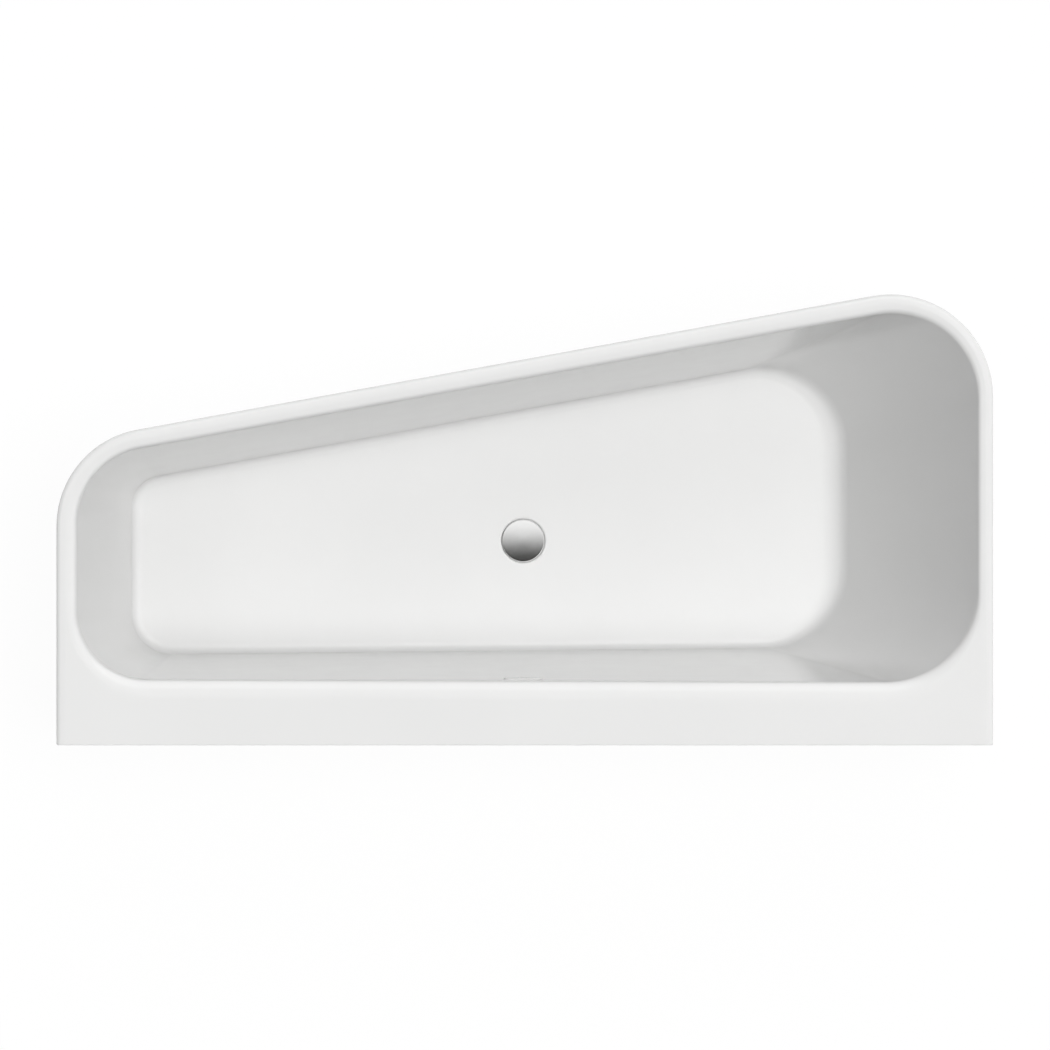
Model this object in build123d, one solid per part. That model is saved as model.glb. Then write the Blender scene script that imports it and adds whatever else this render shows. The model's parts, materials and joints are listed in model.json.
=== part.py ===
from build123d import *
from math import acos, cos, pi, radians, sin, sqrt, tan
import os

os.makedirs("parts", exist_ok=True)

# Back-to-wall bathtub with a slanted free front, in millimetres.
# +Z is up, the wall side is at +Y, the wide end with the backrest at -X, the narrow end at +X.
# The origin is on the floor, in the middle of the bounding box.

# Outline and rim
bath_length = 1600.0
bath_width = 770.0              # over everything, at the wide end
rim_height = 580.0
front_angle = 10.3              # degrees between the free front and the wall side
wide_corner_radius = 175.0
narrow_corner_radius = 168.0
shell_thickness = 5.0
lip_height = 45.0
rim_outer_radius = 10.0

# Basin: insets of the wall planes at rim level, slopes from vertical in degrees
floor_height = 140.0
front_rim_inset = 32.0
wide_rim_inset = 23.4
narrow_rim_inset = 33.6
back_rim_inset_wide = 105.6
back_rim_inset_narrow = 112.0
front_slope = 6.0
wide_slope = 26.1
narrow_slope = 9.0
back_slope_wide = 7.4
back_slope_narrow = 4.3
floor_fillet_radius = 18.0
backrest_fillet_radius = 50.0
rim_edge_radius = 12.0
back_edge_radius = 24.0
rim_radii = [155.0, 146.0, 132.0, 120.0]     # back-wide, front-wide, front-narrow, back-narrow
floor_radii = [140.0, 144.0, 54.0, 72.0]

# Reinforcement under the shell
bond_gap = 0.3
backing_thickness = 3.0
backing_top_gap = 10.5          # backing's upper edge to the overflow's slot
board_thickness = 16.0
board_margin = 10.0
board_slot_gap = 5.0
batten_depth = 25.0
batten_height = 35.0
batten_end_gap = 100.0

# Feet and cross rails
rail_width = 40.0
rail_height = 25.0
rail_wall = 2.0
rail_overhang = 14.0
rail_end_margin = 75.0          # board's end to the first rail's middle
middle_rail_x = 150.0
rail_screw_shares = [0.25, 0.42, 0.58, 0.75]     # along the rail, from the front foot to the back one
rail_hole_clearance = 1.0
front_foot_inset = 48.0
back_foot_inset = 127.0
stud_radius = 5.0
stud_length = 132.0
stud_clearance = 0.05
nut_height = 8.0
nut_across_flats = 17.0
pad_radius = 25.0
pad_base = 6.0
pad_boss_radius = 12.0
pad_height = 20.0
stud_seat = 8.0                 # floor to the stud's lower end

# Apron
apron_inset = 3.0
apron_thickness = 5.0
apron_floor_gap = 10.0
apron_lip_gap = 0.6
apron_return = 20.0
tongue_thickness = 4.0
tongue_overlap = 25.0
rib_width = 60.0
rib_thickness = 15.0
rib_bottom = 60.0
rib_drop = 100.0                # rim to the rib's upper end
bracket_thickness = 2.5
bracket_arm = 60.0
bracket_foot = 50.0

# Wall anchors
anchor_end_inset = 240.0
anchor_width = 60.0
anchor_thickness = 3.0
anchor_height = 80.0
anchor_pad = 7.0
anchor_hole_radius = 3.5
anchor_hole_spacing = 40.0

# Fasteners
screw_radius = 2.5
screw_head_radius = 4.5
screw_head_height = 3.0
screw_fit = 0.05
rail_screw_length = 14.0
rib_screw_length = 14.0
anchor_screw_length = 30.0
bracket_bolt_length = 12.0

# Waste
waste_x = 3.0
waste_y = 37.0
dish_radius = 42.0
dish_foot_radius = 38.5
dish_depth = 5.0
boss_radius = 47.0
waste_hole_radius = 26.0
gasket_thickness = 2.0
gasket_outer_radius = 33.0
flange_radius = 35.0
flange_thickness = 2.5
tail_radius = 23.9
tail_wall = 2.9
tail_length = 64.5
tail_slot_width = 12.0
tail_slot_height = 14.0
spider_drop = 8.0               # flange to the spider's upper face
spider_height = 5.0
spider_arm_width = 3.5
guide_radius = 7.0
guide_length = 31.0
guide_collar_radius = 9.5
guide_collar_height = 2.0
thread_gap = 0.1
lower_gasket_thickness = 4.0
banjo_height = 32.0
banjo_radius = 34.0
banjo_port_root = 6.8           # how far the port reaches into the banjo
banjo_washer_thickness = 2.0
banjo_washer_radius = 32.0
backnut_height = 10.0
backnut_across_flats = 62.0

# Push-open plug
cap_radius = 37.0
cap_edge_height = 2.4
cap_dome = 1.6
cap_above_flange = 1.5
plug_seal_inner_radius = 22.0
plug_seal_radius = 30.0
plug_seal_gap = 0.3
stem_radius = 4.0
stem_length = 37.0
stem_clearance = 0.06

# Overflow
overflow_drop = 40.0            # rim to the middle of the overflow
overflow_slot_width = 56.0
overflow_slot_height = 12.0
cover_margin = 5.0
cover_depth = 1.5
cover_tail_wall = 1.25
inlet_width = 14.0
inlet_height = 7.0
overflow_fit = 0.15
overflow_seal_thickness = 3.0
overflow_seal_margin = 7.0
overflow_seal_clearance = 0.5
chamber_depth = 35.0
chamber_wall = 3.0
hose_radius = 12.5
hose_wall = 2.0
hose_bend_radius = 70.0
port_wall = 3.2
port_length = 28.0
port_fit = 0.3
hose_nut_wall = 3.5
hose_nut_lip = 4.0
hose_nut_grip = 14.0

# Trap and outlet
trap_radius = 42.0
trap_wall = 3.0
trap_bottom = 16.0
neck_radius = 27.0
neck_height = 8.0
neck_flange = 3.0
union_nut_height = 17.0
union_nut_wall = 4.0
union_nut_gap = 1.0
union_seal_thickness = 2.2
union_gap = 0.3                 # seal to the waste's tail
grip_rib_radius = 2.0
grip_rib_count = 8
dip_tube_radius = 19.0
dip_tube_wall = 2.0
dip_tube_bottom = 30.0
cleaning_cap_thickness = 4.0
cleaning_cap_plug = 8.0
outlet_z = 40.0
outlet_radius = 20.0
outlet_wall = 1.8
outlet_end = 350.0
spigot_length = 50.0            # the pipe's free end, which enters a socket up to its bead
bead_width = 3.0
bead_height = 1.5
branch_wall = 3.7
branch_length = 70.0
branch_root = 2.0               # how far the branch reaches into the bowl
outlet_nut_length = 22.0
outlet_seal_length = 4.0

back_y = bath_width / 2
front_tan = tan(radians(front_angle))
front_cos = cos(radians(front_angle))
front_y_wide = back_y - bath_width - wide_corner_radius * (front_tan + 1 / front_cos - 1)
deck_underside = rim_height - shell_thickness
lip_bottom = rim_height - lip_height
backing_inner = shell_thickness + bond_gap
backing_outer = backing_inner + backing_thickness
board_top = floor_height - backing_outer
board_bottom = board_top - board_thickness
rail_bottom = board_bottom - rail_height
overflow_z = rim_height - overflow_drop
backing_top = overflow_z - overflow_slot_height / 2 - backing_top_gap
rib_top = rim_height - rib_drop
dish_z = floor_height - dish_depth
boss_bottom = dish_z - shell_thickness
flange_bottom = dish_z + gasket_thickness
flange_top = flange_bottom + flange_thickness
banjo_top = boss_bottom - lower_gasket_thickness
banjo_bottom = banjo_top - banjo_height
port_z = banjo_top - banjo_height / 2
backnut_top = banjo_bottom - banjo_washer_thickness
port_radius = hose_radius + port_fit + port_wall
banjo_port_end = waste_y + banjo_radius + port_length
tail_bottom = flange_bottom - tail_length
spider_top = flange_bottom - spider_drop
union_seal_top = tail_bottom - union_gap
neck_top = union_seal_top - union_seal_thickness
trap_top = neck_top - neck_height
branch_radius = outlet_radius + port_fit + branch_wall
branch_start = waste_y + trap_radius - trap_wall - branch_root
branch_end = waste_y + branch_length
cleaning_hole = trap_radius - 2 * trap_wall
chamber_start = shell_thickness + overflow_fit + overflow_seal_thickness
rib_inner = apron_inset + apron_thickness + rib_thickness
anchor_outer_x = bath_length / 2 - anchor_end_inset
anchor_positions = (-anchor_outer_x, 0.0, anchor_outer_x)
anchor_top = deck_underside - bond_gap - batten_height - anchor_pad
anchor_shelf = shell_thickness + bond_gap + batten_depth

# Each wall of the basin: inset at rim level, slope, floor fillet radius, rim edge radius
walls = {
    "back_wide": (back_rim_inset_wide, back_slope_wide, floor_fillet_radius, back_edge_radius),
    "back_narrow": (back_rim_inset_narrow, back_slope_narrow, floor_fillet_radius, back_edge_radius),
    "wide": (wide_rim_inset, wide_slope, backrest_fillet_radius, rim_edge_radius),
    "front": (front_rim_inset, front_slope, floor_fillet_radius, rim_edge_radius),
    "narrow": (narrow_rim_inset, narrow_slope, floor_fillet_radius, rim_edge_radius),
}
corner_sides = [("back_wide", "wide"), ("wide", "front"), ("front", "narrow"), ("narrow", "back_narrow")]


# ---- plan outlines

def front_y(x, inset=0.0):
    return front_y_wide + front_tan * (x + bath_length / 2) + inset / front_cos


def back_inset(insets, x):
    share = (x + bath_length / 2) / bath_length
    return insets["back_wide"] + (insets["back_narrow"] - insets["back_wide"]) * share


def corner_points(insets):
    """The four virtual corners of the outline, from back-wide round by the front to back-narrow."""
    wide_x = -bath_length / 2 + insets["wide"]
    narrow_x = bath_length / 2 - insets["narrow"]
    return [
        Vector(wide_x, back_y - back_inset(insets, wide_x)),
        Vector(wide_x, front_y(wide_x, insets["front"])),
        Vector(narrow_x, front_y(narrow_x, insets["front"])),
        Vector(narrow_x, back_y - back_inset(insets, narrow_x)),
    ]


def rounded_outline(points, radii, z):
    """A closed outline of straight lines and tangent arcs at height z."""
    starts = []
    middles = []
    ends = []
    for i, point in enumerate(points):
        before = (points[i - 1] - point).normalized()
        after = (points[(i + 1) % len(points)] - point).normalized()
        half_angle = acos(before.dot(after)) / 2
        inward = (before + after).normalized()
        run = radii[i] / tan(half_angle)
        starts.append(point + before * run)
        middles.append(point + inward * (radii[i] / sin(half_angle) - radii[i]))
        ends.append(point + after * run)
    lift = Vector(0, 0, z)
    edges = []
    for i in range(len(points)):
        if radii[i] > 0:
            edges.append(ThreePointArc(starts[i] + lift, middles[i] + lift, ends[i] + lift))
        edges.append(Line(ends[i] + lift, starts[(i + 1) % len(points)] + lift))
    return Wire(edges)


def rim_prism(inset, bottom, top, back=None):
    """The bath's outline, moved in by inset, as an upright prism; back sets the wall side's own inset."""
    back = inset if back is None else back
    insets = {"back_wide": back, "back_narrow": back, "wide": inset, "front": inset, "narrow": inset}
    radii = [0, wide_corner_radius - inset, narrow_corner_radius - inset, 0]
    outline = Face(rounded_outline(corner_points(insets), radii, bottom))
    return extrude(outline, top - bottom)


# ---- basin

def straight_inset(wall, z):
    rim_inset, slope = walls[wall][:2]
    return rim_inset + (rim_height - z) * tan(radians(slope))


def wall_inset(wall, z, grow):
    """How far in a basin wall stands at height z, on a surface that lies grow outside the basin."""
    slope = radians(walls[wall][1])
    fillet_radius, edge_radius = walls[wall][2:]
    offset = grow / cos(slope)
    radius = fillet_radius + grow
    centre_z = floor_height + fillet_radius
    tangent_z = centre_z - radius * sin(slope)
    if z < tangent_z:
        centre = straight_inset(wall, tangent_z) - offset + radius * cos(slope)
        return centre - sqrt(max(radius ** 2 - (centre_z - z) ** 2, 0))
    radius = edge_radius - grow
    centre_z = rim_height - edge_radius
    tangent_z = centre_z + radius * sin(slope)
    if z > tangent_z and radius > 0:
        centre = straight_inset(wall, tangent_z) - offset - radius * cos(slope)
        return centre + sqrt(max(radius ** 2 - (z - centre_z) ** 2, 0))
    return straight_inset(wall, z) - offset


def basin_section(z, grow):
    insets = {wall: wall_inset(wall, z, grow) for wall in walls}
    depth_share = (rim_height - z) / (rim_height - floor_height)
    radii = []
    for i, sides in enumerate(corner_sides):
        extra = sum(insets[side] - straight_inset(side, z) for side in sides) / 2
        radii.append(rim_radii[i] + (floor_radii[i] - rim_radii[i]) * depth_share - extra)
    return rounded_outline(corner_points(insets), radii, z)


def basin_loft(heights, grow, ruled=False):
    return Solid.make_loft([basin_section(z, grow) for z in heights], ruled=ruled)


def basin_solid(grow, top=None):
    """The basin's inside, grown by grow; it ends at the rim's flare, or straight at top."""
    largest = max(wall[2] for wall in walls.values())
    edge = max(wall[3] for wall in walls.values())
    steps = 7
    fillet_sweep = pi / 2 - radians(wide_slope)
    fillet_centre = floor_height + largest
    fillet_heights = [fillet_centre - (largest + grow) * cos(i / steps * fillet_sweep) for i in range(steps + 1)]
    wall_top = rim_height - edge if top is None else top
    lower = basin_loft(fillet_heights, grow)
    straight = basin_loft([fillet_heights[-1], wall_top], grow, ruled=True)
    if top is not None:
        return lower.fuse(straight)
    flare_heights = [wall_top + (edge - grow) * sin(i / steps * pi / 2) for i in range(steps + 1)]
    return lower.fuse(straight, basin_loft(flare_heights, grow))


def overflow_plane(outside=0.0):
    """On the back wall at the overflow: x along the wall, y down it, z outward."""
    insets = {wall: straight_inset(wall, overflow_z) for wall in ("back_wide", "back_narrow")}
    share = (waste_x + bath_length / 2) / bath_length
    wide_tan = tan(radians(back_slope_wide))
    lean = wide_tan + (tan(radians(back_slope_narrow)) - wide_tan) * share
    skew = -(insets["back_narrow"] - insets["back_wide"]) / bath_length
    along = Vector(1, skew, 0).normalized()
    up = Vector(0, lean, 1).normalized()
    outward = up.cross(along).normalized()
    origin = Vector(waste_x, back_y - back_inset(insets, waste_x), overflow_z)
    return Plane(origin + outward * outside, x_dir=along, z_dir=outward)


def slot_prism(width, height, start, end):
    """A stadium-shaped prism along the overflow's axis, between two distances from the wall's inside."""
    return extrude(overflow_plane(start) * SlotOverall(width, height), end - start)


# ---- round pieces about an upright axis

def disc(radius, bottom, top, x=waste_x, y=waste_y):
    return Pos(x, y, bottom) * Cylinder(radius, top - bottom, align=(Align.CENTER, Align.CENTER, Align.MIN))


def ring(outer, inner, bottom, top, x=waste_x, y=waste_y):
    return disc(outer, bottom, top, x, y) - disc(inner, bottom, top, x, y)


def hex_nut(across_flats, bore, bottom, top, x=waste_x, y=waste_y):
    prism = extrude(Pos(x, y, bottom) * RegularPolygon(across_flats / 2, 6, major_radius=False), top - bottom)
    return prism - disc(bore, bottom, top, x, y)


def tube_along(plane, outer, inner, length):
    """A tube that starts at the plane and runs along its z direction."""
    return extrude(plane * (Circle(outer) - Circle(inner)), length)


def screw(plane, length, radius=screw_radius):
    """A pan-head screw: the head lies below the plane, the shank runs along its z direction."""
    head = extrude(plane * Circle(screw_head_radius), -screw_head_height)
    shank = extrude(plane * Circle(radius), length)
    return head + shank


def screw_hole(plane, length, radius=screw_radius):
    return extrude(plane * Circle(radius + screw_fit), length)


# ---- shell and reinforcement

def tub_shell():
    rim = rim_prism(0, lip_bottom, rim_height)
    top_edges = rim.edges().filter_by(lambda edge: edge.center().Z > deck_underside)
    free_edges = top_edges.filter_by(lambda edge: edge.center().Y < back_y - shell_thickness)
    rim = fillet(free_edges, rim_outer_radius)
    rim -= rim_prism(shell_thickness, lip_bottom, deck_underside)
    shell = rim + basin_solid(shell_thickness)
    shell += disc(boss_radius, boss_bottom, dish_z)
    shell -= basin_solid(0)
    dish = Pos(waste_x, waste_y, dish_z + dish_depth / 2) * Cone(dish_foot_radius, dish_radius, dish_depth)
    shell -= dish
    shell -= disc(waste_hole_radius, boss_bottom, dish_z)
    return shell - slot_prism(overflow_slot_width, overflow_slot_height, -cover_depth, backing_outer)


def glass_fibre_backing():
    layer = basin_solid(backing_outer, backing_top) - basin_solid(backing_inner, backing_top)
    return layer - disc(boss_radius + bond_gap, board_top, dish_z)


def base_board():
    """The board under the floor, with a slot for the waste that is open to the back."""
    insets = {wall: wall_inset(wall, floor_height, 0) + board_margin for wall in walls}
    radii = [radius - board_margin for radius in floor_radii]
    board = extrude(Face(rounded_outline(corner_points(insets), radii, board_bottom)), board_thickness)
    slot_half = boss_radius + board_slot_gap
    board -= disc(slot_half, board_bottom, board_top)
    slot = Box(2 * slot_half, back_y, board_thickness, align=(Align.CENTER, Align.MIN, Align.MIN))
    board -= Pos(waste_x, waste_y, board_bottom) * slot
    for plane in rail_screw_planes():
        board -= screw_hole(plane, rail_screw_length)
    return board


def back_batten():
    y = back_y - shell_thickness - bond_gap
    z = deck_underside - bond_gap
    length = bath_length - 2 * batten_end_gap
    batten = Box(length, batten_depth, batten_height, align=(Align.CENTER, Align.MAX, Align.MAX))
    batten = Pos(0, y, z) * batten
    for x in anchor_positions:
        batten -= screw_hole(anchor_screw_plane(x), anchor_screw_length)
    return batten


# ---- rails and feet

board_end_inset = {wall: wall_inset(wall, floor_height, 0) + board_margin for wall in ("wide", "narrow")}
rail_positions = {
    "wide": -bath_length / 2 + board_end_inset["wide"] + rail_end_margin,
    "middle": middle_rail_x,
    "narrow": bath_length / 2 - board_end_inset["narrow"] - rail_end_margin,
}


def foot_places(x):
    """The front and the back foot of the rail at x."""
    return {"front": front_y(x, front_foot_inset), "back": back_y - back_foot_inset}


def rail_screw_planes():
    planes = []
    for x in rail_positions.values():
        front = foot_places(x)["front"]
        back = foot_places(x)["back"]
        for share in rail_screw_shares:
            point = (x, front + (back - front) * share, board_bottom - rail_wall)
            planes.append(Plane(point, z_dir=(0, 0, 1)))
    return planes


def cross_rail(x):
    front = foot_places(x)["front"]
    back = foot_places(x)["back"]
    length = back - front + 2 * rail_overhang
    corner = (Align.CENTER, Align.MIN, Align.MIN)
    rail = Pos(x, front - rail_overhang, rail_bottom) * Box(rail_width, length, rail_height, align=corner)
    inner_height = rail_height - rail_wall
    inner = Box(rail_width - 2 * rail_wall, length, inner_height, align=corner)
    rail -= Pos(x, front - rail_overhang, rail_bottom) * inner
    for y in (front, back):
        rail -= disc(stud_radius + rail_hole_clearance, rail_bottom, board_bottom, x, y)
    for plane in rail_screw_planes():
        if abs(plane.origin.X - x) < rail_width:
            rail -= screw_hole(plane, rail_wall)
    return rail - screw_hole(bracket_bolt_plane(x), bracket_bolt_length)


def foot_nuts(top):
    """One nut on every stud, with its upper face at top."""
    nuts = []
    for x in rail_positions.values():
        for y in foot_places(x).values():
            nuts.append(hex_nut(nut_across_flats, stud_radius + stud_clearance, top - nut_height, top, x, y))
    return nuts


def foot_stud(x, y):
    return disc(stud_radius, stud_seat, stud_seat + stud_length, x, y)


def foot_pad(x, y):
    pad = disc(pad_radius, 0, pad_base, x, y) + disc(pad_boss_radius, pad_base, pad_height, x, y)
    return pad - disc(stud_radius, stud_seat, pad_height, x, y)


# ---- apron

def apron():
    top = lip_bottom - apron_lip_gap
    inner = apron_inset + apron_thickness
    panel = rim_prism(apron_inset, apron_floor_gap, top, back=0)
    panel -= rim_prism(inner, apron_floor_gap, top, back=apron_thickness)
    opening = Box(bath_length - 2 * (apron_inset + apron_return), 4 * apron_thickness, rim_height)
    panel -= Pos(0, back_y, rim_height / 2) * opening
    tongue_inset = shell_thickness + apron_lip_gap
    tongue_bottom = top - tongue_overlap
    tongue_top = lip_bottom + tongue_overlap
    tongue_back = shell_thickness + apron_lip_gap
    tongue = rim_prism(tongue_inset, tongue_bottom, tongue_top, back=tongue_back)
    tongue -= rim_prism(tongue_inset + tongue_thickness, tongue_bottom, tongue_top, back=-tongue_thickness)
    return panel + tongue


def front_plane(x, inset=0.0):
    """On the front at x: x along the front, y inward, z up."""
    along = (front_cos, sin(radians(front_angle)), 0)
    return Plane((x, front_y(x, inset), 0), x_dir=along, z_dir=(0, 0, 1))


def rib_screw_planes(x):
    """The two screws that hold the bracket of the rail at x to its rib."""
    plane = front_plane(bracket_x(x), rib_inner + bracket_thickness)
    planes = []
    for along in (-bracket_foot / 4, bracket_foot / 4):
        point = plane.from_local_coords(Vector(along, 0, rail_bottom + rail_height / 2))
        planes.append(Plane(point, z_dir=-plane.y_dir))
    return planes


def apron_rib(x):
    box = Box(rib_width, rib_thickness, rib_top - rib_bottom, align=(Align.CENTER, Align.MIN, Align.MIN))
    rib = front_plane(bracket_x(x), apron_inset + apron_thickness) * Pos(0, 0, rib_bottom) * box
    for plane in rib_screw_planes(x):
        rib -= screw_hole(plane, rib_screw_length)
    return rib


def bracket_x(x):
    return x + rail_width / 2 + bracket_thickness / 2


def bracket_bolt_plane(x):
    """The bolt through the bracket's arm and the rail's side, from outside the rail."""
    y = foot_places(x)["front"] - rail_overhang + bracket_arm / 2
    side = x + rail_width / 2 + bracket_thickness
    return Plane((side, y, rail_bottom + rail_height / 2), x_dir=(0, 1, 0), z_dir=(-1, 0, 0))


def apron_bracket(x):
    """An angle: its arm lies on the rail's side, its foot on the rib."""
    foot = Box(bracket_foot, bracket_thickness, rail_height, align=(Align.CENTER, Align.MIN, Align.MIN))
    foot = front_plane(bracket_x(x), rib_inner) * Pos(0, 0, rail_bottom) * foot
    start = front_y(bracket_x(x), rib_inner + bracket_thickness / 2)
    end = foot_places(x)["front"] - rail_overhang + bracket_arm
    arm = Box(bracket_thickness, end - start, rail_height, align=(Align.CENTER, Align.MIN, Align.MIN))
    bracket = foot + Pos(bracket_x(x), start, rail_bottom) * arm
    for plane in rib_screw_planes(x):
        bracket -= screw_hole(plane, bracket_thickness)
    return bracket - screw_hole(bracket_bolt_plane(x), bracket_bolt_length)


# ---- wall anchors

def anchor_screw_plane(x):
    y = back_y - shell_thickness - bond_gap - batten_depth / 2
    return Plane((x, y, anchor_top - anchor_thickness), z_dir=(0, 0, 1))


def wall_anchor(x):
    """An angle bracket: its plate lies on the wall, its shelf carries the batten."""
    aligned = (Align.CENTER, Align.MAX, Align.MAX)
    anchor = Pos(x, back_y, anchor_top) * Box(anchor_width, anchor_thickness, anchor_height, align=aligned)
    anchor += Pos(x, back_y, anchor_top) * Box(anchor_width, anchor_shelf, anchor_thickness, align=aligned)
    anchor -= screw_hole(anchor_screw_plane(x), anchor_screw_length)
    lower_hole = anchor_top - anchor_height + anchor_hole_spacing / 2
    for z in (lower_hole, lower_hole + anchor_hole_spacing):
        hole = Plane((x, back_y, z), z_dir=(0, -1, 0))
        anchor -= extrude(hole * Circle(anchor_hole_radius), anchor_thickness)
    return anchor


def rim_pad(x):
    y = back_y - shell_thickness - bond_gap
    pad = Box(anchor_width, batten_depth, anchor_pad, align=(Align.CENTER, Align.MAX, Align.MIN))
    pad = Pos(x, y, anchor_top) * pad
    return pad - screw_hole(anchor_screw_plane(x), anchor_screw_length)


# ---- waste

def waste_flange():
    """The strainer flange and its slotted tail, with a three-armed spider for the plug's guide."""
    inner = tail_radius - tail_wall
    flange = ring(flange_radius, inner, flange_bottom, flange_top)
    flange += ring(tail_radius, inner, tail_bottom, flange_bottom)
    for i in range(4):
        slot = Pos(tail_radius, 0, port_z) * Box(tail_radius, tail_slot_width, tail_slot_height)
        flange -= Pos(waste_x, waste_y, 0) * Rot(0, 0, 45 + i * 90) * slot
    for i in range(3):
        aligned = (Align.MIN, Align.CENTER, Align.MAX)
        arm = Box(inner + tail_wall / 2, spider_arm_width, spider_height, align=aligned)
        flange += Pos(waste_x, waste_y, spider_top) * Rot(0, 0, 90 + i * 120) * arm
    flange += disc(guide_radius + tail_wall, spider_top - spider_height, spider_top)
    return flange - disc(guide_radius + screw_fit, spider_top - spider_height, spider_top)


def plug_guide():
    """The cartridge that guides and latches the plug's stem."""
    guide = disc(guide_radius, spider_top - guide_length, spider_top)
    guide += disc(guide_collar_radius, spider_top, spider_top + guide_collar_height)
    return guide - disc(stem_radius + stem_clearance, spider_top - guide_length, flange_top)


def overflow_banjo():
    """The ring under the bath that leads the overflow into the slotted tail."""
    banjo = disc(banjo_radius, banjo_bottom, banjo_top)
    port = Plane((waste_x, waste_y, port_z), z_dir=(0, 1, 0))
    port_start = banjo_radius - banjo_port_root
    banjo += extrude(port.offset(port_start) * Circle(port_radius), banjo_port_end - waste_y - port_start)
    banjo -= disc(tail_radius + thread_gap, banjo_bottom, banjo_top)
    return banjo - extrude(port * Circle(hose_radius + port_fit), banjo_port_end - waste_y)


def hose_nut(plane):
    """A nut that starts hose_nut_grip behind the port's mouth and closes round the hose before it."""
    inner = port_radius + thread_gap
    nut = tube_along(plane.offset(-hose_nut_grip), inner + hose_nut_wall, inner, hose_nut_grip)
    return nut + tube_along(plane, inner + hose_nut_wall, hose_radius + thread_gap, hose_nut_lip)


# ---- plug

def plug_cap():
    bottom = flange_top + cap_above_flange
    edge = disc(cap_radius, bottom, bottom + cap_edge_height)
    sphere_radius = (cap_radius ** 2 + cap_dome ** 2) / (2 * cap_dome)
    top = bottom + cap_edge_height + cap_dome
    dome = Pos(waste_x, waste_y, top - sphere_radius) * Sphere(sphere_radius)
    crown = dome & disc(cap_radius, bottom + cap_edge_height / 2, top)
    return edge + crown


def plug_stem():
    bottom = flange_top + cap_above_flange
    return disc(stem_radius, bottom - stem_length, bottom)


def plug_seal():
    bottom = flange_top + plug_seal_gap
    return ring(plug_seal_radius, plug_seal_inner_radius, bottom, flange_top + cap_above_flange)


# ---- overflow

overflow_axis = overflow_plane(chamber_start + chamber_depth / 2).origin
overflow_port_end = overflow_axis.Z - overflow_slot_height / 2 - chamber_wall - port_length


def overflow_cover():
    """A thin cover with a small inlet in its face; its tail clips into the body."""
    width = overflow_slot_width + 2 * cover_margin
    height = overflow_slot_height + 2 * cover_margin
    cover = slot_prism(width, height, -cover_depth, -overflow_fit)
    tail_width = overflow_slot_width - 2 * overflow_fit
    tail_height = overflow_slot_height - 2 * overflow_fit
    tail_end = chamber_start + chamber_wall
    cover += slot_prism(tail_width, tail_height, -cover_depth, tail_end)
    bore_width = tail_width - 2 * cover_tail_wall
    bore_height = tail_height - 2 * cover_tail_wall
    cover -= slot_prism(bore_width, bore_height, -overflow_fit, tail_end)
    return cover - slot_prism(inlet_width, inlet_height, -cover_depth, 0)


def overflow_seal():
    width = overflow_slot_width + 2 * overflow_seal_margin
    height = overflow_slot_height + 2 * overflow_seal_margin
    start = shell_thickness + overflow_fit
    bore_width = overflow_slot_width + 2 * overflow_seal_clearance
    bore_height = overflow_slot_height + 2 * overflow_seal_clearance
    seal = slot_prism(width, height, start, chamber_start)
    return seal - slot_prism(bore_width, bore_height, start, chamber_start)


def overflow_body():
    """The chamber behind the wall, with a port that points down."""
    width = overflow_slot_width + 2 * overflow_seal_margin
    height = overflow_slot_height + 2 * overflow_seal_margin
    end = chamber_start + chamber_depth
    body = slot_prism(width, height, chamber_start, chamber_start + chamber_wall)
    chamber_width = overflow_slot_width + 2 * chamber_wall
    chamber_height = overflow_slot_height + 2 * chamber_wall
    body += slot_prism(chamber_width, chamber_height, chamber_start, end)
    port = Plane(overflow_axis, z_dir=(0, 0, -1))
    length = overflow_axis.Z - overflow_port_end
    body += extrude(port * Circle(port_radius), length)
    body -= slot_prism(overflow_slot_width, overflow_slot_height, chamber_start, end - chamber_wall)
    return body - extrude(port * Circle(hose_radius + port_fit), length)


def overflow_hose():
    """The pipe from the overflow down to the banjo, with one bend."""
    top = Vector(waste_x, overflow_axis.Y, overflow_port_end + port_length / 2)
    corner = Vector(waste_x, overflow_axis.Y, port_z)
    end = Vector(waste_x, banjo_port_end - port_length / 2, port_z)
    path = FilletPolyline(top, corner, end, radius=hose_bend_radius)
    section = Plane(top, z_dir=(0, 0, -1)) * (Circle(hose_radius) - Circle(hose_radius - hose_wall))
    return sweep(section, path)


# ---- trap

def grip_ribs(radius, bottom, top):
    """Upright ribs round the waste's axis, to turn a nut or cap by hand."""
    ribs = []
    for i in range(grip_rib_count):
        angle = 2 * pi * i / grip_rib_count
        x = waste_x + radius * cos(angle)
        y = waste_y + radius * sin(angle)
        ribs.append(disc(grip_rib_radius, bottom, top, x, y))
    return ribs


def trap_bowl():
    """The water seal's bowl: neck on top, open bottom for cleaning, branch towards the wall."""
    bowl = disc(trap_radius, trap_bottom, trap_top)
    bowl += disc(neck_radius, trap_top, neck_top)
    bowl += disc(neck_radius + neck_flange, neck_top - neck_flange, neck_top)
    branch = Plane((waste_x, branch_start, outlet_z), z_dir=(0, 1, 0))
    bowl += extrude(branch * Circle(branch_radius), branch_end - branch_start)
    bowl -= disc(trap_radius - trap_wall, trap_bottom + trap_wall, trap_top - trap_wall)
    bowl -= disc(cleaning_hole, trap_bottom, trap_bottom + trap_wall)
    bowl -= disc(dip_tube_radius + thread_gap, trap_top - trap_wall, neck_top)
    return bowl - extrude(branch * Circle(outlet_radius + port_fit), branch_end - branch_start)


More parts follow.
